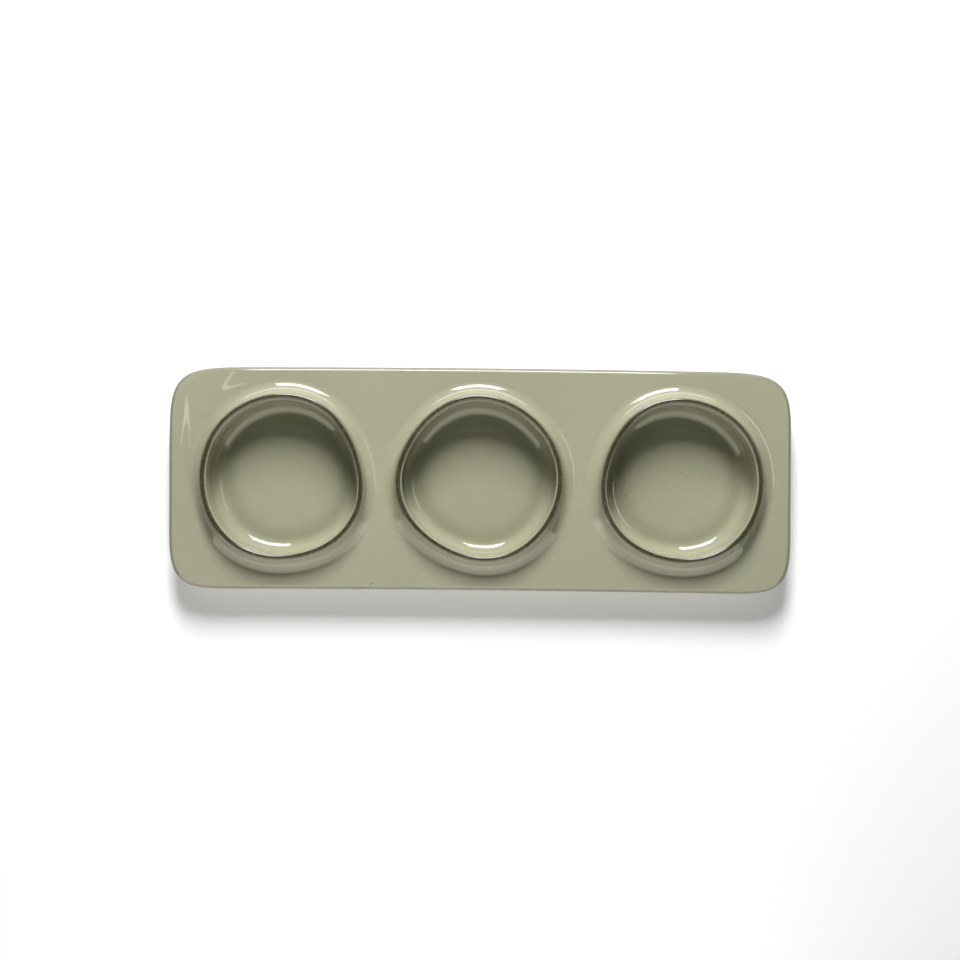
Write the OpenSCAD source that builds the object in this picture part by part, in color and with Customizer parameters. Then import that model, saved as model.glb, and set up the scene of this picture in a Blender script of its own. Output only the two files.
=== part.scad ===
// Relish tray: three round cups in a row, set through a long slab deck on a turned-down apron.
// Hand-built stoneware: a slab, a strip, three thrown cups and three coils, joined as wet clay
// and glazed over the joints. The origin is on the table under the middle of the tray.
// +X runs along the row of cups, +Y to the back, +Z up. All lengths are millimetres.

/* [Cups] */
// Radius of the crest of each cup's lip, where the glaze breaks thin
crest_r = 45.6; // [38:0.1:60]
// Radius of the rounded lip in section
lip_round_r = 2.2; // [1.2:0.1:3]
// How far the lip rolls out over the wall below it
lip_overhang = 0.8; // [0.3:0.1:1]
// Height of the lip's upright sides under its rounding
lip_upright = 0.3; // [0.3:0.1:2]
// Depth of a cup from the crest of its lip to its floor
cup_depth = 26.5; // [22:0.5:45]
// Thickness of a cup's floor
cup_floor_t = 4; // [2.5:0.1:8]
// Radius of the curve from a cup's wall into its floor
cup_bend_r = 7.4; // [5:0.1:14]
// Height of the cups' undersides above the table, so that the apron alone carries the tray
cup_lift = 1; // [0.5:0.1:3]

/* [Collars] */
// Radius of the hollow curve that the coil round a cup is smoothed to
cove_r = 7.8; // [5:0.1:9]
// Thickness left at the outer edge of the smoothed coil
cove_edge = 0.3; // [0.2:0.1:0.8]

/* [Deck] */
// Thickness of the slab
deck_t = 5; // [4:0.1:8]
// Radius of the roll along the deck's outer edge
deck_roll_r = 2.6; // [1:0.1:3.5]
// Radius of the tray's corners, seen from above
corner_r = 22; // [14:0.5:34]
// Flat deck left between the left and the middle mound
gap_left = 0.9; // [0.4:0.1:20]
// Flat deck left between the middle and the right mound
gap_right = 3.4; // [0.4:0.1:20]
// Flat deck between the left mound and the left end
margin_left = 10.6; // [7:0.1:40]
// Flat deck between the right mound and the right end
margin_right = 8.1; // [7:0.1:40]
// Flat deck between the mounds and the front and back edges
side_margin = 9.5; // [6:0.1:30]
// How far the row of cups sits behind the middle line at its left end
row_back_left = 2; // [0:0.1:3]
// How far it sits behind the middle line at the middle cup
row_back_middle = 1.1; // [0:0.1:3]

/* [Apron] */
// Thickness of the strip that stands under the deck's edge
apron_t = 5; // [3.5:0.1:8]
// Rounding of the foot that the strip stands on
foot_round_r = 1.5; // [0.8:0.1:1.7]

/* [Hidden] */
$fn = 96;

// Overrun of every cut past the face that it opens
over = 1;

// Radii of a cup and of the mound round it
lip_outer_r = crest_r + lip_round_r;
well_r = crest_r - lip_round_r;
wall_outer_r = lip_outer_r - lip_overhang;
wall_t = wall_outer_r - well_r;
mound_r = lip_outer_r + cove_r;

// Heights above the table
floor_z = cup_lift + cup_floor_t;
lip_z = floor_z + cup_depth;
ledge_z = lip_z - lip_round_r - lip_upright;
deck_z = ledge_z - cove_r - cove_edge;
deck_under_z = deck_z - deck_t;

// Size of the tray, from what it carries
tray_len = margin_left + 6 * mound_r + gap_left + gap_right + margin_right;
tray_wid = 2 * (mound_r + side_margin);

// Places of the three cups
left_x = margin_left + mound_r - tray_len / 2;
middle_x = left_x + 2 * mound_r + gap_left;
right_x = middle_x + 2 * mound_r + gap_right;
left_at = [left_x, row_back_left];
middle_at = [middle_x, row_back_middle];
right_at = [right_x, 0];

// Colours
glaze_green = [0.65, 0.65, 0.55];
glaze_shade = [0.58, 0.58, 0.48];

// Section of the slab from a corner's centre outwards, with its rolled upper edge
module deck_section() {
    roll_start = deck_t - deck_roll_r;
    square([corner_r, roll_start]);
    square([corner_r - deck_roll_r, deck_t]);
    intersection() {
        translate([corner_r - deck_roll_r, roll_start]) circle(deck_roll_r);
        square([corner_r, deck_t]);
    }
}

// Section of the strip, with its rounded foot
module apron_section() {
    inner = corner_r - apron_t;
    translate([inner, foot_round_r]) square([apron_t, deck_under_z - foot_round_r]);
    translate([inner + foot_round_r, 0]) square([apron_t - 2 * foot_round_r, foot_round_r]);
    for (x = [inner + foot_round_r, corner_r - foot_round_r])
        translate([x, foot_round_r]) circle(foot_round_r);
}

// Carries a section round the tray's outline
module round_outline() {
    long = tray_len - 2 * corner_r;
    short = tray_wid - 2 * corner_r;
    for (turn = [0, 180]) rotate(turn) {
        translate([long / 2, short / 2]) rotate_extrude(angle = 90) children();
        rotate(90) translate([short / 2, long / 2]) rotate_extrude(angle = 90) children();
        translate([long / 2, short / 2]) rotate([90, 0, 0]) linear_extrude(short) children();
        rotate(90) translate([short / 2, long / 2]) rotate([90, 0, 0])
            linear_extrude(long) children();
    }
}

// Section of a thrown cup: floor, bend, wall and rolled-over lip
module cup_section() {
    bend_outer_r = cup_bend_r + wall_t;
    difference() {
        union() {
            translate([0, cup_lift]) square([wall_outer_r - bend_outer_r, ledge_z - cup_lift]);
            translate([0, cup_lift + bend_outer_r])
                square([wall_outer_r, ledge_z - cup_lift - bend_outer_r]);
            translate([wall_outer_r - bend_outer_r, cup_lift + bend_outer_r])
                circle(bend_outer_r);
            translate([0, ledge_z]) square([lip_outer_r, lip_upright]);
            intersection() {
                translate([crest_r, lip_z - lip_round_r]) circle(lip_round_r);
                translate([0, ledge_z]) square([lip_outer_r, lip_z - ledge_z]);
            }
        }
        well_section();
    }
}

// Section of the well inside a cup, open at the top
module well_section() {
    translate([0, floor_z]) square([well_r - cup_bend_r, cup_depth + over]);
    translate([0, floor_z + cup_bend_r]) square([well_r, cup_depth + over - cup_bend_r]);
    translate([well_r - cup_bend_r, floor_z + cup_bend_r]) circle(cup_bend_r);
}

// Section of the coil, smoothed to a hollow curve between the deck and the lip
module collar_section() {
    difference() {
        translate([wall_outer_r, deck_z]) square([mound_r - wall_outer_r, ledge_z - deck_z]);
        translate([mound_r, ledge_z]) circle(cove_r);
    }
}

module cup(at) {
    translate(at) rotate_extrude() cup_section();
}

module collar(at) {
    translate(at) rotate_extrude() collar_section();
}

// The slab, with a round hole for each cup
module deck() {
    color(glaze_green) translate([0, 0, deck_under_z]) difference() {
        union() {
            round_outline() deck_section();
            translate([corner_r - tray_len / 2, corner_r - tray_wid / 2, 0])
                cube([tray_len - 2 * corner_r, tray_wid - 2 * corner_r, deck_t]);
        }
        for (at = [left_at, middle_at, right_at])
            translate([at.x, at.y, -over]) cylinder(h = deck_t + 2 * over, r = wall_outer_r);
    }
}

module apron() { color(glaze_green) round_outline() apron_section(); }

module cup_left() { color(glaze_shade) cup(left_at); }
module cup_middle() { color(glaze_shade) cup(middle_at); }
module cup_right() { color(glaze_shade) cup(right_at); }

module collar_left() { color(glaze_green) collar(left_at); }
module collar_middle() { color(glaze_green) collar(middle_at); }
module collar_right() { color(glaze_green) collar(right_at); }

deck();
apron();
cup_left();
cup_middle();
cup_right();
collar_left();
collar_middle();
collar_right();
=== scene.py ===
"""The looks of a hand-built stoneware relish tray: glazed pieces, plain studio light and a floor.

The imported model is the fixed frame. Each piece of clay stands where its node stands, and all
lengths are metres.
"""

import math

import bmesh
import bpy
import numpy as np
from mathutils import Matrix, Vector, geometry, noise


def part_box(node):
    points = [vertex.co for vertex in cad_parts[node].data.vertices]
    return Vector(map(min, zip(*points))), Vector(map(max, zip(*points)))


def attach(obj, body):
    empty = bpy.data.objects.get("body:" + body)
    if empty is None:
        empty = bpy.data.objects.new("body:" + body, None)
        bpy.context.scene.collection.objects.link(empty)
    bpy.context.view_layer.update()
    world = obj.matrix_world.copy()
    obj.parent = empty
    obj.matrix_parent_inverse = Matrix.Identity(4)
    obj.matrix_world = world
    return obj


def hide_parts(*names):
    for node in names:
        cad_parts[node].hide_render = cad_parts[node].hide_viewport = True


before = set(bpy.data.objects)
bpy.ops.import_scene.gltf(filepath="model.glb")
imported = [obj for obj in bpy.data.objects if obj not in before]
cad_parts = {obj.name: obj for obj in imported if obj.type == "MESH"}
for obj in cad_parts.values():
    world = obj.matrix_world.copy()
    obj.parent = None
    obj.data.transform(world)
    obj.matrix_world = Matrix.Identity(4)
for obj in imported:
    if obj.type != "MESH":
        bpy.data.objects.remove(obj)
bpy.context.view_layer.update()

bl_info = {
    "name": "Relish Tray",
    "version": (1, 0, 0),
    "blender": (4, 5, 0),
    "location": "View3D > Sidebar > Relish Tray",
    "description": "Glazed stoneware relish tray with three thrown cups",
    "category": "Object",
}

# What the frame says
PLACES = ("left", "middle", "right")
DECK_LOW, DECK_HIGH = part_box("deck")
CUP_BOXES = {place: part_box(f"cup_{place}") for place in PLACES}
COLLAR_BOXES = {place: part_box(f"collar_{place}") for place in PLACES}
CENTRES = {place: (low + high) / 2 for place, (low, high) in CUP_BOXES.items()}
CUP_LOW, CUP_HIGH = CUP_BOXES["middle"]
LIP_OUTER_R = (CUP_HIGH.x - CUP_LOW.x) / 2
MOUND_R = (COLLAR_BOXES["middle"][1].x - COLLAR_BOXES["middle"][0].x) / 2
LEDGE_Z = COLLAR_BOXES["middle"][1].z
DECK_Z = DECK_HIGH.z
DECK_UNDER_Z = DECK_LOW.z
HALF_LENGTH = DECK_HIGH.x
HALF_WIDTH = DECK_HIGH.y

TURN = 2 * math.pi
# Layers of the meshes: where the glaze lies thin on the lips together with the painted shade on the
# deck's edge, and the ring of painted shade on each cup's floor
THIN_AND_SHADE_LAYER = "thin_glaze"
FLOOR_SHADE_LAYER = "pooled_glaze"
# Bends sharper than this are drawn as corners
SHARP_ANGLE = math.radians(40)
# Points closer than this, in metres, are one point: in the throwing, in a piece, in a flat sheet
THROW_WELD = 1e-6
PIECE_WELD = 2e-7
SHEET_WELD = 1e-8
# Heights that differ by less than this, in metres, are level
LEVEL_GAP = 1e-6
# Width of the narrow band of flat deck that meets the roll, in metres
FLAT_HOLD = 0.0003
# Triangles smaller than this, in square metres, are only rounding along a straight border
SLIVER_AREA = 2e-10


def length(name, words, default, **more):
    """A length that the sidebar shows in the scene's units."""
    return bpy.props.FloatProperty(
        name=name, description=words, default=default, unit="LENGTH", precision=4, **more
    )


def corner_reach(name, default):
    """How far a corner's curve reaches along the tray and across it."""
    return bpy.props.FloatVectorProperty(
        name=name, description="How far the curve reaches along the tray and across it",
        default=default, size=2, subtype="XYZ_LENGTH", unit="LENGTH", precision=4,
    )


def colour(name, words, default):
    """A linear colour that the sidebar shows as a swatch."""
    return bpy.props.FloatVectorProperty(
        name=name, description=words, default=default, subtype="COLOR", size=3, min=0, max=1
    )


def share(name, words, default, **more):
    """A plain number between limits."""
    return bpy.props.FloatProperty(name=name, description=words, default=default, **more)


class TrayCupSizes(bpy.types.PropertyGroup):
    """Sizes of the thrown cups and of the coils round them."""

    lip_round: length("Lip round", "Radius of the rounded lip in section", 0.0022)
    lip_overhang: length("Lip overhang", "How far the lip rolls out over the wall", 0.0008)
    floor_thickness: length("Floor", "Thickness of a cup's floor", 0.004)
    bend: length("Bend", "Radius of the curve from wall to floor", 0.0074)
    seat: length("Seat", "Depth of the coil's seat in the deck", 0.0006)
    rim_dip: length("Rim dip", "How far the thrown rim dips at its lowest", 0.0003)
    thin_shift: length("Thin line", "How far inside the crest the glaze breaks", 0.0004)
    thin_half: length("Thin half width", "Half the width of the line where it breaks", 0.0009)
    thin_inner: length("Thin inner fade", "How far it takes to thicken inside the line", 0.0003)
    thin_outer: length("Thin outer fade", "How far it takes to thicken down the flank", 0.0019)
    # A ring of painted shade on each cup's floor where it meets the bend; its descriptions speak of
    # pooled glaze.
    shade_ring_r: length("Shade ring", "Radius at which the glaze pools thickest", 0.0340)
    shade_ring_reach: length("Shade ring reach", "Reach of the pooled ring in and out", 0.0042)
    ring_height: length("Throwing rings", "Height of the rings left by the fingers", 0.00003)
    ring_pitch: length("Ring pitch", "Climb of the fingers in one turn of the wheel", 0.0023)


class TrayDeckSizes(bpy.types.PropertyGroup):
    """Sizes of the deck and of the apron under it."""

    roll: length("Roll", "Radius of the roll along the deck's edge", 0.0026)
    back_right: corner_reach("Back right corner", (0.0630, 0.0513))
    back_left: corner_reach("Back left corner", (0.0604, 0.0537))
    front_left: corner_reach("Front left corner", (0.0499, 0.0511))
    front_right: corner_reach("Front right corner", (0.0505, 0.0523))
    fullness: share("Corner fullness", "2 is a round corner, more is a squarer one", 5.4, min=2)
    apron: length("Apron", "Thickness of the apron", 0.005)
    foot_round: length("Foot", "Rounding of the apron's foot", 0.0015)
    inner_cove: length("Inner cove", "Clay smoothed into the corner under the deck", 0.003)
    grid: length("Mesh step", "Spacing of the points on the flat of the deck", 0.0016)
    swell: length("Swell", "Height of the slow swells left by hand smoothing", 0.00012)
    # The edge shade paints shade over the deck's roll and upright side with the thin glaze colour;
    # its descriptions speak of thin glaze.
    edge_shade: share("Edge shade", "How thin the glaze lies on the deck's edge", 1.0, min=0, max=1)
    edge_shade_onset: share("Edge shade onset", "Less than 1 thins the glaze early in the roll", 0.6, min=0.2)


class TrayColours(bpy.types.PropertyGroup):
    """Colours and finish of the glaze and of the bare clay."""

    glaze: colour("Glaze", "Sage glaze at its usual thickness", (0.370, 0.372, 0.262))
    # The deeper tone is where drift and mottle take the glaze, and it is also the colour of the
    # painted shade ring on the cup floors.
    deeper: colour("Pooled glaze", "Glaze where it pools thick", (0.302, 0.307, 0.206))
    # The thin colour is the clay where the lip's glaze breaks, and it also paints the shade on the
    # deck's edge.
    thin: colour("Thin glaze", "Clay showing through where the glaze breaks", (0.047, 0.044, 0.020))
    warm: colour("Warm glaze", "Glaze where the clay's iron warms it", (0.386, 0.369, 0.266))
    speck: colour("Iron speck", "Iron that has bled through the glaze", (0.030, 0.020, 0.012))
    clay: colour("Bare clay", "Unglazed stoneware of the foot", (0.420, 0.330, 0.235))
    gloss_ior: share("Glaze index", "Refractive index of the glaze", 1.75, min=1.3, max=2.2)
    roughness: share("Glaze roughness", "How blurred its reflections are", 0.02, min=0, max=1)


class TrayStudio(bpy.types.PropertyGroup):
    """Camera and lights."""

    camera_height: length("Camera height", "Height of the lens above the table", 0.9325)
    camera_back: length("Camera offset", "How far behind the tray's middle it hangs", 0.0003)
    field: bpy.props.FloatProperty(
        name="Field of view", description="Angle across the picture", default=math.radians(33.5),
        subtype="ANGLE",
    )
    key: share("Key light", "Radiance of the softbox behind the tray", 36.3, min=0)
    key_gloss: share("Key in the gloss", "Radiance of the softbox in reflections", 10.0, min=0)
    card: share("Card", "Radiance of the white card in front", 1.25, min=0)
    low_card: share("Low card", "Radiance of the low white card further off", 1.3, min=0)
    card_gloss: share("Card in the gloss", "Radiance of the card in reflections", 1.5, min=0)
    card_tint: colour("Card tint", "Warm white of the card in reflections", (1.0, 0.99, 0.80))
    upper_card: share("Upper card", "Radiance of the dim card above the front card", 0.45, min=0)
    backdrop: share("Backdrop", "Radiance of the far backdrop in reflections", 2.8, min=0)
    strip: share("Strip lamps", "Radiance of the left strip lamp in reflections", 1.9, min=0)
    room: share("Room", "Radiance of the room around", 0.01, min=0)


def cup_sizes():
    """The sizes of cups and coils, as the sidebar sets them."""
    return bpy.context.scene.tray_cups


def deck_sizes():
    """The sizes of deck and apron, as the sidebar sets them."""
    return bpy.context.scene.tray_deck


def colours():
    """The colours and finish, as the sidebar sets them."""
    return bpy.context.scene.tray_colours


def studio():
    """The camera and lights, as the sidebar sets them."""
    return bpy.context.scene.tray_studio


# Each rim leans out of round in its own way: waves round the rim, height in metres, and the
# direction of one crest in degrees. No waves widens or narrows the whole rim.
WOBBLES = {
    "left": (
        (0, 0.00010, 0), (1, 0.00080, 231), (2, 0.00060, 107), (3, 0.00074, 90), (4, 0.00056, 57),
    ),
    "middle": (
        (0, 0.00000, 0), (1, 0.00037, 250), (2, 0.00031, 148), (3, 0.00059, 74), (4, 0.00066, 12),
    ),
    "right": (
        (0, -0.00035, 0), (1, 0.00096, 261), (2, 0.00039, 80), (3, 0.00062, 89), (4, 0.00054, 30),
    ),
}
WAVES = (0, 1, 2, 3, 4)


def rim_wobble(place, angle):
    """How far the rim of a cup stands outside a true round, in that direction."""
    return sum(
        height * math.cos(waves * (angle - math.radians(crest)))
        for waves, height, crest in WOBBLES[place]
    )


# Where a hand raised or pressed the soft slab: middle, spread along and across the mark, its turn
# in degrees, and its height, less than 0 for a hollow, lengths in metres
HAND_MARKS = (
    ((-0.1658, 0.0190), (0.0023, 0.0076), -4, 0.000330),
    ((-0.1634, 0.0440), (0.0038, 0.0133), -1, 0.000240),
    ((-0.1389, 0.0521), (0.0108, 0.0078), 13, 0.000214),
    ((-0.1480, 0.0553), (0.0126, 0.0052), 39, -0.000181),
    ((-0.1254, 0.0542), (0.0083, 0.0053), -7, 0.000110),
)
# Swells in a metre along the slab and across it, and the layer of the noise that they are cut from
SWELLS_ALONG = 22
SWELLS_ACROSS = 26
SWELL_LAYER = 3.7
# How steeply the swells set in above the deck's underside, as none may move the tray's foot
SWELL_ONSET = 3.0


def swell(x, y):
    """Height of the slow swells that smoothing by hand leaves in the deck, never above it."""
    lift = noise.noise(Vector((x * SWELLS_ALONG, y * SWELLS_ACROSS, SWELL_LAYER)))
    return deck_sizes().swell * (lift - 1.0)


def hand_mark(x, y):
    """Height of the marks that a hand left in the deck."""
    height = 0.0
    for middle, spread, turn, rise in HAND_MARKS:
        side, up = math.cos(math.radians(turn)), math.sin(math.radians(turn))
        away = (x - middle[0], y - middle[1])
        along = (away[0] * side + away[1] * up) / spread[0]
        across = (away[1] * side - away[0] * up) / spread[1]
        height += rise * math.exp(-(along * along + across * across) / 2)
    return height


# Straight steps along each stretch of a section, and round a cup
ROUND_STEPS = 288
FLOOR_STEPS = 16
BEND_STEPS = 36
WALL_STEPS = 48
LIP_STEPS = 28
UNDER_STEPS = 6
UNDER_BEND_STEPS = 12
HOLLOW_STEPS = 40
SEAT_STEPS = 3
ROLL_STEPS = 14
FOOT_STEPS = 8
APRON_OUTER_STEPS = 6
APRON_INNER_STEPS = 5
INNER_COVE_STEPS = 8


def arc(centre, radius, start, end, steps, squash=1.0):
    """Points along an arc in a section, angles in degrees."""
    points = []
    for step in range(steps + 1):
        angle = math.radians(start + (end - start) * step / steps)
        points.append(
            (centre[0] + radius * math.cos(angle), centre[1] + radius * squash * math.sin(angle))
        )
    return points


def run(start, end, steps):
    """Points along a straight stretch of a section, without its ends."""
    return [
        (
            start[0] + (end[0] - start[0]) * step / steps,
            start[1] + (end[1] - start[1]) * step / steps,
        )
        for step in range(1, steps)
    ]


def throwing_ring(z, floor_z, top_z):
    """Height of the faint rings that the fingers leave inside a cup, none at floor and lip."""
    sizes = cup_sizes()
    fade = min(1.0, max(0.0, (z - floor_z) / sizes.bend)) * min(1.0, (top_z - z) / sizes.lip_round)
    return sizes.ring_height * fade * math.sin(TURN * z / sizes.ring_pitch)


def cup_section():
    """A cup's section from the middle of its floor, over the lip and down to its underside."""
    sizes = cup_sizes()
    floor_z = CUP_LOW.z + sizes.floor_thickness
    crest_r = LIP_OUTER_R - sizes.lip_round
    well_r = crest_r - sizes.lip_round
    wall_r = LIP_OUTER_R - sizes.lip_overhang
    top_z = CUP_HIGH.z - sizes.lip_round
    flat_r = well_r - sizes.bend
    outer_bend = sizes.bend + wall_r - well_r
    under_r, under_z = wall_r - outer_bend, CUP_LOW.z
    points = [(0.0, floor_z)] + run((0.0, floor_z), (flat_r, floor_z), FLOOR_STEPS)
    inside = arc((flat_r, floor_z + sizes.bend), sizes.bend, -90, 0, BEND_STEPS)
    inside += run((well_r, floor_z + sizes.bend), (well_r, top_z), WALL_STEPS)
    points += [(r - throwing_ring(z, floor_z, top_z), z) for r, z in inside]
    points += arc((crest_r, top_z), sizes.lip_round, 180, 0, LIP_STEPS)
    points += [(LIP_OUTER_R, LEDGE_Z), (wall_r, LEDGE_Z)]
    points += run((wall_r, LEDGE_Z), (wall_r, under_z + outer_bend), UNDER_STEPS)
    points += arc((under_r, under_z + outer_bend), outer_bend, 0, -90, UNDER_BEND_STEPS)
    points += run((under_r, under_z), (0.0, under_z), UNDER_STEPS) + [(0.0, under_z)]
    return points


def collar_section():
    """The smoothed coil's section: seat, edge, hollow curve and the land under the lip."""
    sizes = cup_sizes()
    wall_r = LIP_OUTER_R - sizes.lip_overhang
    seat_z = DECK_Z - sizes.seat
    cove = MOUND_R - LIP_OUTER_R
    rise = (LEDGE_Z - DECK_Z) / cove
    points = [(wall_r, seat_z)] + run((wall_r, seat_z), (MOUND_R, seat_z), SEAT_STEPS)
    points += [(MOUND_R, seat_z)]
    points += arc((MOUND_R, LEDGE_Z), cove, 270, 180, HOLLOW_STEPS, squash=rise)
    points += [(wall_r, LEDGE_Z)] + run((wall_r, LEDGE_Z), (wall_r, seat_z), SEAT_STEPS)
    return points


def link(tree, source, target):
    """Plugs an output into an input."""
    tree.links.new(source, target)


# Width of a node and the gap to the next, in the node editor
NODE_PITCH = 180


def node(tree, kind, values=None, **settings):
    """Adds a node to the right of the last one, sets it, and plugs in or writes its inputs."""
    made = tree.nodes.new(kind)
    made.location.x = NODE_PITCH * len(tree.nodes)
    for name, value in settings.items():
        setattr(made, name, value)
    for name, value in (values or {}).items():
        if isinstance(value, bpy.types.NodeSocket):
            link(tree, value, made.inputs[name])
        else:
            made.inputs[name].default_value = value
    return made


def reckon(tree, operation, *operands):
    """A Math node in any kind of tree."""
    return node(tree, "ShaderNodeMath", dict(enumerate(operands)), operation=operation).outputs[0]


# The rim's dip fades down the cup with this power of the height
DIP_FADE = 4.0
# The grid that is thrown measures 1 by 1 about its middle, so this brings a side of it to 0
HALF_GRID = 0.5


def thrown_round_inputs(tree):
    """The named inputs of the thrown round."""

    def give(name, kind, default=None):
        socket = tree.interface.new_socket(
            name=name, in_out="INPUT", socket_type=f"NodeSocket{kind}"
        )
        if default is not None:
            socket.default_value = default

    give("Geometry", "Geometry")
    give("Section", "Object")
    give("Centre", "Vector")
    give("Round Steps", "Int", ROUND_STEPS)
    give("Core Radius", "Float", LIP_OUTER_R)
    give("Rim Height", "Float", CUP_HIGH.z)
    give("Rim Dip", "Float", 0.0)
    for wave in WAVES:
        give(f"Waves {wave}", "Float", float(wave))
        give(f"Height {wave}", "Float", 0.0)
        give(f"Crest {wave}", "Float", 0.0)
    give("Material", "Material")
    return node(tree, "NodeGroupInput").outputs


def wobbled_radius(tree, inputs, radius, angle):
    """A radius with the rim's waves, which fade towards the middle of the cup."""
    lean = 0.0
    for wave in WAVES:
        off = reckon(tree, "SUBTRACT", angle, inputs[f"Crest {wave}"])
        crest = reckon(tree, "COSINE", reckon(tree, "MULTIPLY", off, inputs[f"Waves {wave}"]))
        swing = reckon(tree, "MULTIPLY", crest, inputs[f"Height {wave}"])
        lean = reckon(tree, "ADD", swing, lean)
    near_rim = reckon(tree, "MINIMUM", reckon(tree, "DIVIDE", radius, inputs["Core Radius"]), 1.0)
    hold = reckon(tree, "MULTIPLY", near_rim, near_rim)
    return reckon(tree, "ADD", radius, reckon(tree, "MULTIPLY", lean, hold))


def dipped_height(tree, inputs, height, angle):
    """A height less the dips of the rim, two in a round, which fade towards the foot."""
    doubled = reckon(tree, "MULTIPLY", angle, 2.0)
    dip_wave = reckon(tree, "SINE", reckon(tree, "ADD", doubled, inputs["Crest 2"]))
    half_dip = reckon(tree, "MULTIPLY", inputs["Rim Dip"], 0.5)
    dip = reckon(tree, "MULTIPLY", reckon(tree, "ADD", dip_wave, 1.0), half_dip)
    up = reckon(tree, "MAXIMUM", reckon(tree, "DIVIDE", height, inputs["Rim Height"]), 0.0)
    sink = reckon(tree, "MULTIPLY", dip, reckon(tree, "POWER", up, DIP_FADE))
    return reckon(tree, "SUBTRACT", height, sink)


def thrown_round_tree():
    """Geometry nodes that throw a section round a centre, a little out of round."""
    tree = bpy.data.node_groups.new("Thrown Round", "GeometryNodeTree")
    inputs = thrown_round_inputs(tree)
    tree.interface.new_socket(name="Geometry", in_out="OUTPUT", socket_type="NodeSocketGeometry")
    line = node(tree, "GeometryNodeObjectInfo", {"Object": inputs["Section"]})
    section = line.outputs["Geometry"]
    size = node(tree, "GeometryNodeAttributeDomainSize", {"Geometry": section})
    count = size.outputs["Point Count"]
    turns = reckon(tree, "ADD", inputs["Round Steps"], 1.0)
    grid = node(
        tree, "GeometryNodeMeshGrid",
        {"Size X": 1.0, "Size Y": 1.0, "Vertices X": count, "Vertices Y": turns},
    )
    here = node(tree, "GeometryNodeInputPosition").outputs[0]
    split = node(tree, "ShaderNodeSeparateXYZ", {0: here}).outputs
    along = reckon(tree, "ADD", split["X"], HALF_GRID)
    last = reckon(tree, "SUBTRACT", count, 1.0)
    index = reckon(tree, "ROUND", reckon(tree, "MULTIPLY", along, last))
    angle = reckon(tree, "MULTIPLY", reckon(tree, "ADD", split["Y"], HALF_GRID), TURN)

    def sampled(kind, value):
        values = {"Geometry": section, "Value": value, "Index": index}
        made = node(tree, "GeometryNodeSampleIndex", values, data_type=kind, domain="POINT")
        return made.outputs["Value"]

    def shaped(kind, geometry, values=None, **settings):
        values = {"Geometry": geometry, **(values or {})}
        return node(tree, f"GeometryNode{kind}", values, **settings).outputs["Geometry"]

    point = node(tree, "ShaderNodeSeparateXYZ", {0: sampled("FLOAT_VECTOR", here)}).outputs
    out = wobbled_radius(tree, inputs, point["X"], angle)
    place = node(tree, "ShaderNodeCombineXYZ", {
        "X": reckon(tree, "MULTIPLY", out, reckon(tree, "COSINE", angle)),
        "Y": reckon(tree, "MULTIPLY", out, reckon(tree, "SINE", angle)),
        "Z": dipped_height(tree, inputs, point["Z"], angle),
    }).outputs[0]
    values = {0: place, 1: inputs["Centre"]}
    at = node(tree, "ShaderNodeVectorMath", values, operation="ADD").outputs[0]

    made = grid.outputs["Mesh"]
    for name in (THIN_AND_SHADE_LAYER, FLOOR_SHADE_LAYER):
        mark = node(tree, "GeometryNodeInputNamedAttribute", {"Name": name}, data_type="FLOAT")
        values = {"Name": name, "Value": sampled("FLOAT", mark.outputs["Attribute"])}
        made = shaped("StoreNamedAttribute", made, values, data_type="FLOAT", domain="POINT")
    made = shaped("SetPosition", made, {"Position": at})
    made = shaped("MergeByDistance", made, {"Distance": THROW_WELD})
    made = shaped("RealizeInstances", made)
    made = shaped("SetMaterial", made, {"Material": inputs["Material"]})
    node(tree, "NodeGroupOutput", {"Geometry": made})
    return tree


def section_object(name, points, layers):
    """A section as a line of points that the thrown round reads, with its glaze marked."""
    mesh = bpy.data.meshes.new(name)
    mesh.from_pydata([(r, 0.0, z) for r, z in points], [], [])
    for layer_name, amount in layers.items():
        layer = mesh.attributes.new(layer_name, "FLOAT", "POINT")
        for slot, point in enumerate(points):
            layer.data[slot].value = amount(point)
    holder = bpy.data.objects.new(name, mesh)
    bpy.context.scene.collection.objects.link(holder)
    return holder


def throw_round(name, place, points, layers, material):
    """Throws one round piece with the node tree and returns it as a plain mesh object."""
    tree = bpy.data.node_groups.get("Thrown Round") or thrown_round_tree()
    starts_on_axis = points[0][0] == 0
    loop = points if starts_on_axis else points + points[:1]
    section = section_object(f"{name}_section", loop, layers)
    piece = bpy.data.objects.new(name, bpy.data.meshes.new(f"{name}_start"))
    bpy.context.scene.collection.objects.link(piece)
    modifier = piece.modifiers.new("Throw", "NODES")
    modifier.node_group = tree
    sockets = {
        item.name: item.identifier
        for item in tree.interface.items_tree
        if item.item_type == "SOCKET" and item.in_out == "INPUT"
    }
    centre = CENTRES[place]
    settings = {
        "Section": section,
        "Centre": (centre.x, centre.y, 0.0),
        "Round Steps": ROUND_STEPS,
        "Core Radius": LIP_OUTER_R,
        "Rim Height": CUP_HIGH.z,
        "Rim Dip": cup_sizes().rim_dip,
        "Material": material,
    }
    for waves, height, crest in WOBBLES[place]:
        settings[f"Waves {waves}"] = float(waves)
        settings[f"Height {waves}"] = height
        settings[f"Crest {waves}"] = math.radians(crest)
    for label, value in settings.items():
        modifier[sockets[label]] = value
    bpy.context.view_layer.update()
    evaluated = piece.evaluated_get(bpy.context.evaluated_depsgraph_get())
    mesh = bpy.data.meshes.new_from_object(evaluated)
    piece.modifiers.clear()
    piece.data = mesh
    mesh.name = name
    mesh.materials.clear()
    mesh.materials.append(material)
    bpy.data.objects.remove(section)
    return piece


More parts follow.
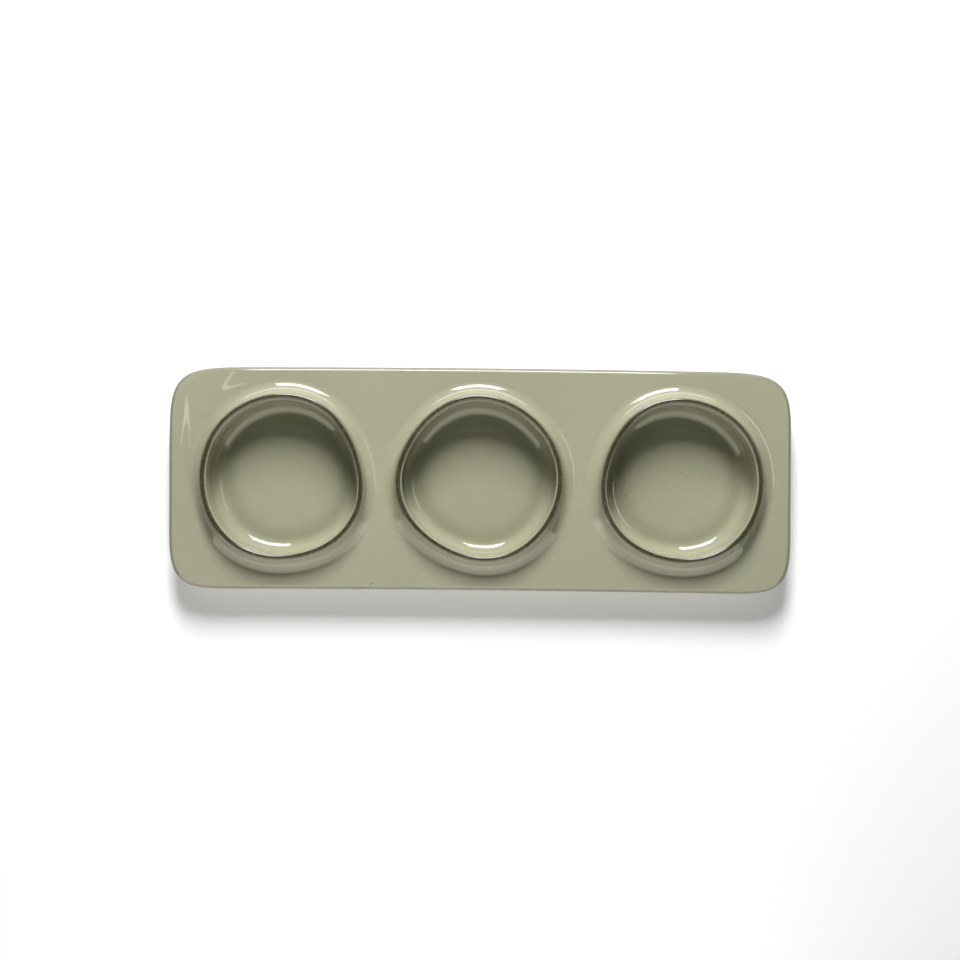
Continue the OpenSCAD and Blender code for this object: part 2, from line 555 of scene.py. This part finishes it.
def settle(mesh):
    """Lays a piece over swells and hand marks. Both fade at the table, and marks at lips too."""
    for vertex in mesh.vertices:
        x, y, z = vertex.co
        off_table = min(1.0, max(0.0, z / DECK_UNDER_Z - 1.0) * SWELL_ONSET)
        under_lip = min(1.0, max(0.0, (LEDGE_Z - z) / (LEDGE_Z - DECK_Z)))
        vertex.co.z = z + off_table * (swell(x, y) + under_lip * hand_mark(x, y))


def finish_mesh(mesh):
    """Welds, turns every face outwards and keeps only real corners sharp."""
    work = bmesh.new()
    work.from_mesh(mesh)
    bmesh.ops.remove_doubles(work, verts=work.verts, dist=PIECE_WELD)
    bmesh.ops.recalc_face_normals(work, faces=work.faces)
    open_edges = [edge for edge in work.edges if not edge.is_manifold]
    if open_edges:
        where = [tuple(round(value, 4) for value in edge.verts[0].co) for edge in open_edges[:4]]
        raise RuntimeError(f"{mesh.name} has {len(open_edges)} open edges, near {where}")
    work.to_mesh(mesh)
    work.free()
    mesh.shade_smooth()
    mesh.set_sharp_from_angle(angle=SHARP_ANGLE)


def dress(piece, node_name):
    """Settles and finishes a piece, and hands it to the frame in place of its node."""
    settle(piece.data)
    finish_mesh(piece.data)
    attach(piece, "root")
    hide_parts(node_name)


# The slab was cut by hand: its middle line and its half width drift along it, and its ends drift
# across it. Each is a size in the middle, and the lean and the bow that are added at the end of a
# stretch, to the right or to the back, all in metres.
LONG_STRETCH = 0.150
SHORT_STRETCH = 0.060
MIDDLE_LINE = (0.00076, -0.00157, -0.00074)
HALF_SPAN = (0.06357, 0.00001, -0.00009)
LEFT_END = (0.00020, 0.00034, 0.00010)
RIGHT_END = (-0.00024, 0.00035, 0.00034)


def drifted(drift, part):
    """A hand-cut size at that part of its stretch."""
    middle, lean, bow = drift
    return middle + lean * part + bow * part * part


def middle_line(x):
    """How far the hand-cut slab's middle line lies behind the tray's, at this place."""
    return drifted(MIDDLE_LINE, x / LONG_STRETCH)


def half_span(x):
    """Half the slab's width at this place."""
    return drifted(HALF_SPAN, x / LONG_STRETCH)


def end_shift(x, y):
    """How far the slab's hand-cut ends stray along the tray, at this place."""
    left = drifted(LEFT_END, y / SHORT_STRETCH)
    right = drifted(RIGHT_END, y / SHORT_STRETCH)
    return left + (right - left) * (x + HALF_LENGTH) / (2 * HALF_LENGTH)


def corner_curve(centre, reach, start, steps):
    """Points round a corner that is squarer than a round one, angles in degrees."""
    power = deck_sizes().fullness
    points = []
    for step in range(steps + 1):
        angle = math.radians(start + 90 * step / steps)
        across, along = math.cos(angle), math.sin(angle)
        out = (abs(across) ** power + abs(along) ** power) ** (-1 / power)
        points.append((centre[0] + reach[0] * out * across, centre[1] + reach[1] * out * along))
    return points


def slab_edge(per_corner=44, per_long=96, per_short=12):
    """The slab's outer edge, from the right end's front and round by the back."""
    sizes = deck_sizes()
    half_width = half_span(0.0)
    corners = (
        (1, -1, sizes.front_right), (1, 1, sizes.back_right),
        (-1, 1, sizes.back_left), (-1, -1, sizes.front_left),
    )
    curves = []
    for turn, (side_x, side_y, reach) in enumerate(corners):
        centre = (side_x * (HALF_LENGTH - reach[0]), side_y * (half_width - reach[1]))
        curves.append(corner_curve(centre, reach, 90 * turn - 90, per_corner))
    points = []
    for turn, curve in enumerate(curves):
        after = curves[(turn + 1) % len(curves)]
        points += curve + run(curve[-1], after[0], per_short if turn % 2 == 0 else per_long)
    return [
        (x + end_shift(x, y), middle_line(x) + y * half_span(x) / half_width) for x, y in points
    ]


def outline(inset):
    """The slab's outline, drawn in square to its edge by inset."""
    edge = np.array(slab_edge())
    along = np.roll(edge, -1, axis=0) - np.roll(edge, 1, axis=0)
    inwards = np.column_stack((-along[:, 1], along[:, 0]))
    inwards /= np.linalg.norm(inwards, axis=1)[:, None]
    return [tuple(point) for point in edge + inwards * inset]


def round_hole(place, radius):
    """Points round a cup at that radius, leaning out as the cup's rim does."""
    centre = CENTRES[place]
    points = []
    for step in range(ROUND_STEPS):
        angle = TURN * step / ROUND_STEPS
        reach = radius + rim_wobble(place, angle)
        points.append((centre.x + reach * math.cos(angle), centre.y + reach * math.sin(angle)))
    return points


def within(points, loop):
    """Which of many points lie inside a closed loop."""
    x, y = points[:, 0], points[:, 1]
    inside = np.zeros(len(points), bool)
    for (ax, ay), (bx, by) in zip(loop, loop[1:] + loop[:1]):
        if ay != by:
            crosses = (ay > y) != (by > y)
            inside ^= crosses & (x < ax + (y - ay) * (bx - ax) / (by - ay))
    return inside


def clear_of(points, loop, gap):
    """Which of many points lie at least that far from a loop's own points."""
    away = np.ones(len(points), bool)
    for x, y in loop:
        away &= np.hypot(points[:, 0] - x, points[:, 1] - y) > gap
    return away


def grid_points(step, border, holes):
    """Points of an even grid inside a border and clear of the holes."""
    grid = np.array([
        (column * step + (row % 2) * step / 2 - HALF_LENGTH, row * step - HALF_WIDTH)
        for column in range(int(2 * HALF_LENGTH / step) + 1)
        for row in range(int(2 * HALF_WIDTH / step) + 1)
    ])
    use = within(grid, border)
    for hole in holes:
        use &= ~within(grid, hole) & clear_of(grid, hole, step / 2)
    return [tuple(point) for point in grid[use]]


def flat_sheet(inset, hole_radius):
    """Points and triangles of a flat sheet inside the outline, with the three round holes.

    A second loop just inside the outline keeps the roll's shading off the flat.
    """
    step = deck_sizes().grid
    edge = outline(inset)
    holes = [round_hole(place, hole_radius) for place in PLACES]
    points, borders = [], []
    for loop in [edge, outline(inset + FLAT_HOLD)] + holes:
        first = len(points)
        points += loop
        borders += [(first + k, first + (k + 1) % len(loop)) for k in range(len(loop))]
    points += grid_points(step, outline(inset + step / 2), holes)
    made, _, faces, *_ = geometry.delaunay_2d_cdt(
        [Vector(point) for point in points], borders, [], 0, SHEET_WELD
    )
    places = np.array([tuple(point) for point in made])
    corners = places[np.array([list(face) for face in faces])]
    middles = corners.mean(axis=1)
    one, other = corners[:, 1] - corners[:, 0], corners[:, 2] - corners[:, 0]
    areas = np.abs(one[:, 0] * other[:, 1] - one[:, 1] * other[:, 0]) / 2
    keep = within(middles, edge) & (areas > SLIVER_AREA)
    for hole in holes:
        keep &= ~within(middles, hole)
    return [tuple(point) for point in places], [tuple(faces[k]) for k in np.flatnonzero(keep)]


def add_band(verts, faces, lower, upper):
    """Joins two loops of equal count with a band of quads."""
    count = len(lower)
    first = len(verts)
    verts.extend(lower)
    verts.extend(upper)
    for k in range(count):
        after = (k + 1) % count
        faces.append((first + k, first + after, first + count + after, first + count + k))


def build_deck(material):
    """The slab: flat top and underside, rolled edge and a seat for each coil."""
    sizes = deck_sizes()
    seat_z = DECK_Z - cup_sizes().seat
    wall_r = LIP_OUTER_R - cup_sizes().lip_overhang
    verts, faces = [], []
    for inset, hole_radius, z in ((sizes.roll, MOUND_R, DECK_Z), (0.0, wall_r, DECK_UNDER_Z)):
        flat, triangles = flat_sheet(inset, hole_radius)
        first = len(verts)
        verts += [(x, y, z) for x, y in flat]
        faces += [tuple(first + corner for corner in face) for face in triangles]
    upright = [(0.0, DECK_UNDER_Z), (0.0, DECK_Z - sizes.roll)]
    rolled = arc((0.0, DECK_Z - sizes.roll), sizes.roll, 0, 90, ROLL_STEPS)
    levels = upright + [(sizes.roll - out, z) for out, z in rolled[1:]]
    loops = [[(x, y, z) for x, y in outline(inset)] for inset, z in levels]
    for lower, upper in zip(loops, loops[1:]):
        add_band(verts, faces, lower, upper)
    for place in PLACES:
        steps = ((wall_r, DECK_UNDER_Z), (wall_r, seat_z), (MOUND_R, seat_z), (MOUND_R, DECK_Z))
        rings = [[(x, y, z) for x, y in round_hole(place, radius)] for radius, z in steps]
        for lower, upper in zip(rings, rings[1:]):
            add_band(verts, faces, lower, upper)
    return plain_piece("deck_slab", verts, faces, material)


def build_apron(material):
    """The strip under the deck's edge, on a rounded foot, smoothed in under the deck."""
    sizes = deck_sizes()
    foot, thick, cove = sizes.foot_round, sizes.apron, sizes.inner_cove
    cove_z = DECK_UNDER_Z - cove
    outer_foot = arc((0.0, foot), foot, 0, -90, FOOT_STEPS)
    inner_foot = arc((0.0, foot), foot, -90, 0, FOOT_STEPS)
    hollow = arc((0.0, cove_z), cove, 0, 90, INNER_COVE_STEPS)
    section = [(0.0, DECK_UNDER_Z)]
    section += run((0.0, DECK_UNDER_Z), (0.0, foot), APRON_OUTER_STEPS)
    section += [(foot - out, z) for out, z in outer_foot]
    section += [(thick - foot + out, z) for out, z in inner_foot]
    section += run((thick, foot), (thick, cove_z), APRON_INNER_STEPS)
    section += [(thick + cove - out, z) for out, z in hollow]
    loops = [[(x, y, z) for x, y in outline(inset)] for inset, z in section]
    verts, faces = [], []
    for lower, upper in zip(loops, loops[1:] + loops[:1]):
        add_band(verts, faces, lower, upper)
    return plain_piece("apron_strip", verts, faces, material)


def plain_piece(name, verts, faces, material):
    """A mesh object from points and faces, with empty layers for thin and pooled glaze."""
    mesh = bpy.data.meshes.new(name)
    mesh.from_pydata(verts, [], faces)
    for layer in (THIN_AND_SHADE_LAYER, FLOOR_SHADE_LAYER):
        mesh.attributes.new(layer, "FLOAT", "POINT")
    mesh.materials.append(material)
    piece = bpy.data.objects.new(name, mesh)
    bpy.context.scene.collection.objects.link(piece)
    return piece


def mark_edge_shade(mesh, darkening):
    """Writes into the thin glaze layer how dark each point of a mesh is painted."""
    layer = mesh.attributes[THIN_AND_SHADE_LAYER]
    for vertex in mesh.vertices:
        layer.data[vertex.index].value = darkening(vertex.co)


def fresh_material(name):
    """A material with only its shader and its output, ready for more nodes."""
    material = bpy.data.materials.new(name)
    material.use_nodes = True
    tree = material.node_tree
    tree.nodes.clear()
    shader = node(tree, "ShaderNodeBsdfPrincipled")
    node(tree, "ShaderNodeOutputMaterial", {"Surface": shader.outputs[0]})
    return material, tree, shader


# Patterns in the glaze and the clay: blotches in a metre, how much detail they have, and how
# strong the finer detail is
PATTERNS = {
    "drift": (16.0, 3.0, 0.5),
    "mottle": (140.0, 4.0, 0.5),
    "warmth": (24.0, 2.0, 0.6),
    "ragged": (420.0, 3.0, 0.5),
    "waves": (45.0, 2.0, 0.5),
    "peel": (260.0, 2.0, 0.5),
    "foot_line": (60.0, 3.0, 0.5),
    "grain": (900.0, 4.0, 0.5),
}
# Where a pattern starts to count and where it counts in full
DRIFT_RANGE = (0.35, 0.65)
MOTTLE_RANGE = (0.35, 0.70)
WARMTH_RANGE = (0.48, 0.68)
# How much drift and mottle deepen the glaze, how ragged its breaks are, how much mottle and
# breaks roughen it, what the finer relief adds to the slow waves, and their height in metres
DRIFT_SHARE = 0.22
MOTTLE_SHARE = 0.10
RAGGED_SHARE = 0.5
MOTTLE_LIFT = 0.015
BREAK_LIFT = 0.15
PEEL_SHARE = 0.05
RELIEF_DEPTH = 0.00003
# Fine specks: cells in a metre, the share of them that stays plain, and where a speck starts and
# is full, as shares of its cell
SPECK_CELLS = 150.0
PLAIN_SHARE = 0.996
SPECK_RANGE = (0.055, 0.02)
SPECK_STRENGTH = 0.8


def cloud(tree, where, pattern):
    """A soft noise of one of the patterns, from 0 to 1."""
    scale, detail, roughness = PATTERNS[pattern]
    values = {"Vector": where, "Scale": scale, "Detail": detail, "Roughness": roughness}
    return node(tree, "ShaderNodeTexNoise", values).outputs["Fac"]


def ramp(tree, value, start, full):
    """0 where the value is at start, 1 where it is at full, and in step between them."""
    values = {"Value": value, "From Min": start, "From Max": full}
    return node(tree, "ShaderNodeMapRange", values).outputs["Result"]


def glaze_group():
    """Shader nodes that give the glaze its drift of colour, its breaks, its painted shade on the
    deck's edge and cup floors, and its fine relief.
    """
    known = bpy.data.node_groups.get("Stoneware Glaze")
    if known:
        return known
    group = bpy.data.node_groups.new("Stoneware Glaze", "ShaderNodeTree")
    for names, side, kind in (
        (("Glaze", "Deeper", "Warm", "Thin", "Speck"), "INPUT", "NodeSocketColor"),
        (("Thinness And Edge Shade", "Painted Floor Shade", "Speck Amount"), "INPUT", "NodeSocketFloat"),
        (("Color",), "OUTPUT", "NodeSocketColor"),
        (("Roughness Lift", "Relief"), "OUTPUT", "NodeSocketFloat"),
    ):
        for name in names:
            group.interface.new_socket(name=name, in_out=side, socket_type=kind)
    inputs = node(group, "NodeGroupInput").outputs
    where = node(group, "ShaderNodeTexCoord").outputs["Object"]

    drift = ramp(group, cloud(group, where, "drift"), *DRIFT_RANGE)
    mottle = ramp(group, cloud(group, where, "mottle"), *MOTTLE_RANGE)
    depth = reckon(group, "MULTIPLY", drift, DRIFT_SHARE)
    depth = reckon(group, "ADD", depth, reckon(group, "MULTIPLY", mottle, MOTTLE_SHARE))
    # The ring of painted shade on the cup floors darkens the glaze towards the deeper tone.
    depth = reckon(group, "ADD", depth, inputs["Painted Floor Shade"])
    depth.node.use_clamp = True
    warmth = ramp(group, cloud(group, where, "warmth"), *WARMTH_RANGE)
    tinted = mix_colour(group, warmth, inputs["Glaze"], inputs["Warm"])
    body = mix_colour(group, depth, tinted, inputs["Deeper"])

    # The thin mask is the glaze breaking over the lips together with the painted shade on the
    # deck's edge.
    ragged = reckon(group, "SUBTRACT", cloud(group, where, "ragged"), 0.5)
    ragged = reckon(group, "MULTIPLY", ragged, RAGGED_SHARE)
    ragged = reckon(group, "MULTIPLY", ragged, inputs["Thinness And Edge Shade"])
    thin = reckon(group, "ADD", inputs["Thinness And Edge Shade"], ragged)
    thin.node.use_clamp = True
    broken_and_edge_shaded = mix_colour(group, thin, body, inputs["Thin"])

    specks = reckon(group, "MAXIMUM", fine_specks(group, where), iron_specks(group, where))
    specks = reckon(group, "MULTIPLY", specks, inputs["Speck Amount"])
    lift = reckon(group, "MULTIPLY", mottle, MOTTLE_LIFT)
    lift = reckon(group, "ADD", lift, reckon(group, "MULTIPLY", thin, BREAK_LIFT))
    peel = reckon(group, "MULTIPLY", cloud(group, where, "peel"), PEEL_SHARE)
    relief = reckon(group, "ADD", cloud(group, where, "waves"), peel)

    colour_out = mix_colour(group, specks, broken_and_edge_shaded, inputs["Speck"])
    values = {"Color": colour_out, "Roughness Lift": lift, "Relief": relief}
    node(group, "NodeGroupOutput", values)
    return group


def fine_specks(tree, where):
    """A mask that is 1 on a few tiny specks scattered through the glaze."""
    values = {"Vector": where, "Scale": SPECK_CELLS, "Randomness": 1.0}
    cells = node(tree, "ShaderNodeTexVoronoi", values).outputs
    near = ramp(tree, cells["Distance"], *SPECK_RANGE)
    chance = node(tree, "ShaderNodeSeparateColor", {0: cells["Color"]}).outputs[0]
    return reckon(tree, "MULTIPLY", near, reckon(tree, "GREATER_THAN", chance, PLAIN_SHARE))


# Specks where iron has bled through the glaze: middle and radius, in metres
IRON_SPECKS = (
    ((0.1172, 0.0047, 0.0050), 0.00032),
    ((0.0849, -0.0087, 0.0052), 0.00040),
    ((-0.0626, -0.0592, 0.0206), 0.00045),
    ((-0.0612, -0.0588, 0.0207), 0.00030),
)
# Where such a speck starts and is full, as shares of its radius
IRON_START_SHARE = 1.4
IRON_FULL_SHARE = 0.5


def iron_specks(tree, where):
    """A mask that is 1 on each speck of iron and fades to 0 round it."""
    mask = 0.0
    for middle, radius in IRON_SPECKS:
        values = {0: where, 1: middle}
        away = node(tree, "ShaderNodeVectorMath", values, operation="DISTANCE").outputs["Value"]
        speck = ramp(tree, away, radius * IRON_START_SHARE, radius * IRON_FULL_SHARE)
        mask = reckon(tree, "MAXIMUM", speck, mask)
    return mask


def mix_colour(tree, factor, first, second):
    """Mixes two colours by a factor, on the Mix node's sockets for colours."""
    values = {0: factor, 6: first, 7: second}
    return node(tree, "ShaderNodeMix", values, data_type="RGBA").outputs[2]


def solid(rgb):
    """A colour with nothing seen through it."""
    return (rgb[0], rgb[1], rgb[2], 1.0)


# Heights at which the glaze starts and is whole along the foot, and how far its line wanders, in
# metres
BARE_UP_TO = 0.0005
GLAZED_FROM = 0.0007
FOOT_WANDER = 0.0008
# How much of its colour the clay keeps in its darkest grain, and how much rougher it is than glaze
CLAY_GRAIN_SHARE = 0.8
CLAY_LIFT = 0.75


def add_bare_foot(tree, paint, rough):
    """Lets bare clay show along the foot, under a wandering line of glaze."""
    colour_of_clay = colours().clay
    where = node(tree, "ShaderNodeTexCoord").outputs["Object"]
    height = node(tree, "ShaderNodeSeparateXYZ", {0: where}).outputs["Z"]
    wander = reckon(tree, "MULTIPLY", cloud(tree, where, "foot_line"), FOOT_WANDER)
    bare = ramp(tree, reckon(tree, "SUBTRACT", height, wander), GLAZED_FROM, BARE_UP_TO)
    dark = solid([channel * CLAY_GRAIN_SHARE for channel in colour_of_clay])
    clay = mix_colour(tree, cloud(tree, where, "grain"), solid(colour_of_clay), dark)
    lift = reckon(tree, "MULTIPLY", bare, CLAY_LIFT)
    return mix_colour(tree, bare, paint, clay), reckon(tree, "ADD", rough, lift)


def glazed_material(name, bare_foot=False):
    """Glossy sage glaze over stoneware, bare along the foot where asked."""
    known = bpy.data.materials.get(name)
    if known:
        return known
    palette = colours()
    material, tree, shader = fresh_material(name)
    group = node(tree, "ShaderNodeGroup", node_tree=glaze_group())
    for finish in ("glaze", "deeper", "warm", "thin", "speck"):
        group.inputs[finish.title()].default_value = solid(getattr(palette, finish))
    group.inputs["Speck Amount"].default_value = SPECK_STRENGTH
    for label, layer in (("Thinness And Edge Shade", THIN_AND_SHADE_LAYER), ("Painted Floor Shade", FLOOR_SHADE_LAYER)):
        marked = node(tree, "ShaderNodeAttribute", attribute_name=layer)
        link(tree, marked.outputs["Fac"], group.inputs[label])
    paint = group.outputs["Color"]
    rough = reckon(tree, "ADD", group.outputs["Roughness Lift"], palette.roughness)
    values = {"Height": group.outputs["Relief"], "Strength": 1.0, "Distance": RELIEF_DEPTH}
    relief = node(tree, "ShaderNodeBump", values)
    if bare_foot:
        paint, rough = add_bare_foot(tree, paint, rough)
    link(tree, paint, shader.inputs["Base Color"])
    link(tree, rough, shader.inputs["Roughness"])
    link(tree, relief.outputs["Normal"], shader.inputs["Normal"])
    shader.inputs["IOR"].default_value = palette.gloss_ior
    return material


# How dark the ring of painted shade on a cup's floor is at its darkest, from 0 to 1
FLOOR_SHADE_DEPTH = 0.9


def edge_painted_shade(point):
    """Painted shade over the roll of the deck's edge, darkest where it turns upright, kept in the
    thin glaze layer.
    """
    sizes = deck_sizes()
    if abs(point.z - DECK_UNDER_Z) < LEVEL_GAP:
        return 0.0
    over = (DECK_Z - point.z) / sizes.roll
    return sizes.edge_shade * max(0.0, min(1.0, over)) ** sizes.edge_shade_onset


def lip_thinness(point):
    """The glaze breaks thin over the crest of a lip."""
    r, z = point
    sizes = cup_sizes()
    crest_r = LIP_OUTER_R - sizes.lip_round
    top_z = CUP_HIGH.z - sizes.lip_round
    if z < top_z or abs(r - crest_r) > sizes.lip_round + LEVEL_GAP:
        return 0.0
    out = r - crest_r + sizes.thin_shift
    fade = sizes.thin_inner if out < 0 else sizes.thin_outer
    return max(0.0, min(1.0, 1.0 - (abs(out) - sizes.thin_half) / fade))


def cup_floor_shade(point):
    """A ring of painted shade on a cup's floor where it meets the bend, darkest on the floor and
    fading up the bend.
    """
    r, z = point
    sizes = cup_sizes()
    floor_z = CUP_LOW.z + sizes.floor_thickness
    if z < floor_z - LEVEL_GAP or z > floor_z + sizes.bend:
        return 0.0
    dry = 1.0 - (z - floor_z) / sizes.bend
    return FLOOR_SHADE_DEPTH * dry * math.exp(-(((r - sizes.shade_ring_r) / sizes.shade_ring_reach) ** 2))


class TRAY_OT_cups(bpy.types.Operator):
    """Throws the three cups and puts them in place of their nodes"""

    bl_idname = "tray.cups"
    bl_label = "Throw Cups"

    def execute(self, context):
        material = glazed_material("cup_stoneware")
        # The lips' glaze breaks thin, and a ring of painted shade darkens each cup's floor at its
        # edge.
        layers = {THIN_AND_SHADE_LAYER: lip_thinness, FLOOR_SHADE_LAYER: cup_floor_shade}
        for place in PLACES:
            piece = throw_round(f"thrown_cup_{place}", place, cup_section(), layers, material)
            dress(piece, f"cup_{place}")
        return {"FINISHED"}


class TRAY_OT_collars(bpy.types.Operator):
    """Presses a coil round each cup and smooths it down to the deck"""

    bl_idname = "tray.collars"
    bl_label = "Smooth Coils"

    def execute(self, context):
        material = glazed_material("sage_stoneware")
        for place in PLACES:
            piece = throw_round(f"smoothed_coil_{place}", place, collar_section(), {}, material)
            dress(piece, f"collar_{place}")
        return {"FINISHED"}


class TRAY_OT_deck(bpy.types.Operator):
    """Cuts the slab with its rolled edge and its three holes"""

    bl_idname = "tray.deck"
    bl_label = "Cut Deck"

    def execute(self, context):
        piece = build_deck(glazed_material("sage_stoneware"))
        # Painted shade on the deck's rolled edge and upright side.
        mark_edge_shade(piece.data, edge_painted_shade)
        dress(piece, "deck")
        return {"FINISHED"}


class TRAY_OT_apron(bpy.types.Operator):
    """Stands the apron under the deck's edge"""

    bl_idname = "tray.apron"
    bl_label = "Stand Apron"

    def execute(self, context):
        piece = build_apron(glazed_material("apron_stoneware", bare_foot=True))
        dress(piece, "apron")
        return {"FINISHED"}


WHITE = (1.0, 1.0, 1.0)
# The floor's colour and finish
FLOOR_COLOUR = (0.93, 0.93, 0.93)
FLOOR_ROUGHNESS = 0.6
FLOOR_SHEEN = 0.2
# How much the floor glows where the camera or a reflection sees it
FLOOR_GLOW = 0.12
# How far the floor reaches each way, in metres
FLOOR_REACH = 3.0
# Width of the camera's sensor, in millimetres
SENSOR_WIDTH = 36.0
# What the softbox is aimed at, in metres
TRAY_MIDDLE = (0.0, 0.0, 0.02)
# Lamps and cards: name, middle, what it faces, width and height, all in metres, the studio value
# that sets its radiance, and how many times that value it shines. Those whose name ends in gloss
# are seen in reflections only, and the others only light what they reach.
LAMPS = (
    ("key_softbox", (-0.026, 1.00, 0.83), TRAY_MIDDLE, (0.40, 0.57), "key", 1.0),
    ("key_gloss", (-0.026, 0.99, 0.83), TRAY_MIDDLE, (0.615, 0.57), "key_gloss", 1.0),
    ("front_card", (-0.06, -0.40, 0.50), (-0.06, 0.0, 0.50), (0.45, 1.00), "card", 1.0),
    ("low_card", (-0.06, -0.90, 0.20), (-0.06, 0.0, 0.20), (1.8, 0.40), "low_card", 1.0),
    ("front_card_gloss", (-0.06, -0.39, 0.50), (-0.06, 0.0, 0.50), (1.24, 1.00), "card_gloss", 1.0),
    ("upper_card_gloss", (-0.06, -0.39, 1.80), (-0.06, 0.0, 1.80), (1.24, 1.60), "upper_card", 1.0),
    ("backdrop_gloss", (-0.05, 1.60, 0.16), (-0.05, 0.0, 0.16), (2.2, 0.30), "backdrop", 1.0),
    ("strip_left_gloss", (-0.57, 0.155, 1.6), (-0.57, 0.155, 0.0), (0.033, 0.21), "strip", 1.0),
    ("strip_back_gloss", (-0.59, 0.209, 1.6), (-0.59, 0.209, 0.0), (0.384, 0.015), "strip", 0.95),
    ("strip_right_gloss", (0.96, 0.295, 1.6), (0.96, 0.295, 0.0), (0.10, 0.69), "strip", 3.0),
)


def area_light(name, middle, target, size, radiance):
    """A rectangular lamp of that radiance, square to the line to its target."""
    width, height = size
    data = bpy.data.lights.new(name, "AREA")
    data.shape = "RECTANGLE"
    data.size = width
    data.size_y = height
    data.energy = radiance * math.pi * width * height
    lamp = bpy.data.objects.new(name, data)
    lamp.location = middle
    lamp.rotation_euler = (Vector(target) - Vector(middle)).to_track_quat("-Z", "Y").to_euler()
    lamp.visible_camera = False
    bpy.context.scene.collection.objects.link(lamp)
    return lamp


def hang_lamps():
    """Hangs every lamp and card round the tray."""
    values = studio()
    for name, middle, target, size, level, times in LAMPS:
        lamp = area_light(name, middle, target, size, times * getattr(values, level))
        only_gloss = name.endswith("gloss")
        lamp.visible_diffuse = not only_gloss
        lamp.visible_glossy = only_gloss
        lamp.data.color = values.card_tint if name.endswith("card_gloss") else WHITE


def lay_floor():
    """Lays a plain pale floor that keeps the tray's shadow."""
    far = FLOOR_REACH
    mesh = bpy.data.meshes.new("floor")
    mesh.from_pydata(
        [(-far, -far, 0), (far, -far, 0), (far, far, 0), (-far, far, 0)], [], [(0, 1, 2, 3)]
    )
    floor = bpy.data.objects.new("floor", mesh)
    bpy.context.scene.collection.objects.link(floor)
    material, tree, shader = fresh_material("floor_white")
    shader.inputs["Base Color"].default_value = solid(FLOOR_COLOUR)
    shader.inputs["Roughness"].default_value = FLOOR_ROUGHNESS
    shader.inputs["Specular IOR Level"].default_value = FLOOR_SHEEN
    path = node(tree, "ShaderNodeLightPath")
    seen = reckon(tree, "MAXIMUM", path.outputs["Is Camera Ray"], path.outputs["Is Glossy Ray"])
    glow = reckon(tree, "MULTIPLY", seen, FLOOR_GLOW)
    link(tree, glow, shader.inputs["Emission Strength"])
    shader.inputs["Emission Color"].default_value = solid(WHITE)
    mesh.materials.append(material)


def light_room():
    """Gives the room around its faint, even light."""
    world = bpy.data.worlds.new("room")
    world.use_nodes = True
    background = world.node_tree.nodes["Background"]
    background.inputs["Color"].default_value = solid(WHITE)
    background.inputs["Strength"].default_value = studio().room
    bpy.context.scene.world = world


def set_camera():
    """Hangs the camera above the tray, looking straight down."""
    values = studio()
    scene = bpy.context.scene
    data = bpy.data.cameras.new("camera")
    data.sensor_width = SENSOR_WIDTH
    data.lens = data.sensor_width / (2 * math.tan(values.field / 2))
    camera = bpy.data.objects.new("camera", data)
    camera.location = (0.0, values.camera_back, values.camera_height)
    scene.collection.objects.link(camera)
    scene.camera = camera
    scene.view_settings.view_transform = "Standard"


class TRAY_OT_stage(bpy.types.Operator):
    """Lays the floor and sets the lights and the camera"""

    bl_idname = "tray.stage"
    bl_label = "Set Stage"

    def execute(self, context):
        lay_floor()
        hang_lamps()
        light_room()
        set_camera()
        return {"FINISHED"}


class TRAY_PT_panel(bpy.types.Panel):
    """Lists the tray's pieces, sizes and colours"""

    bl_idname = "TRAY_PT_panel"
    bl_label = "Relish Tray"
    bl_space_type = "VIEW_3D"
    bl_region_type = "UI"
    bl_category = "Relish Tray"

    def draw(self, context):
        layout = self.layout
        for group, kind in GROUPS.items():
            box = layout.box()
            for name in kind.__annotations__:
                box.prop(getattr(context.scene, group), name)
        for maker in MAKERS:
            layout.operator(maker.bl_idname)


GROUPS = {
    "tray_cups": TrayCupSizes,
    "tray_deck": TrayDeckSizes,
    "tray_colours": TrayColours,
    "tray_studio": TrayStudio,
}
MAKERS = (TRAY_OT_stage, TRAY_OT_deck, TRAY_OT_apron, TRAY_OT_cups, TRAY_OT_collars)


def register():
    """Adds the tray's sizes, makers and panel."""
    for group, kind in GROUPS.items():
        bpy.utils.register_class(kind)
        setattr(bpy.types.Scene, group, bpy.props.PointerProperty(type=kind))
    for maker in MAKERS:
        bpy.utils.register_class(maker)
    bpy.utils.register_class(TRAY_PT_panel)


def unregister():
    """Takes them away again."""
    bpy.utils.unregister_class(TRAY_PT_panel)
    for maker in reversed(MAKERS):
        bpy.utils.unregister_class(maker)
    for group, kind in reversed(GROUPS.items()):
        delattr(bpy.types.Scene, group)
        bpy.utils.unregister_class(kind)


def main():
    """Sets the stage and makes the pieces."""
    register()
    bpy.ops.tray.stage()
    bpy.ops.tray.deck()
    bpy.ops.tray.apron()
    bpy.ops.tray.cups()
    bpy.ops.tray.collars()


if __name__ == "__main__":
    main()
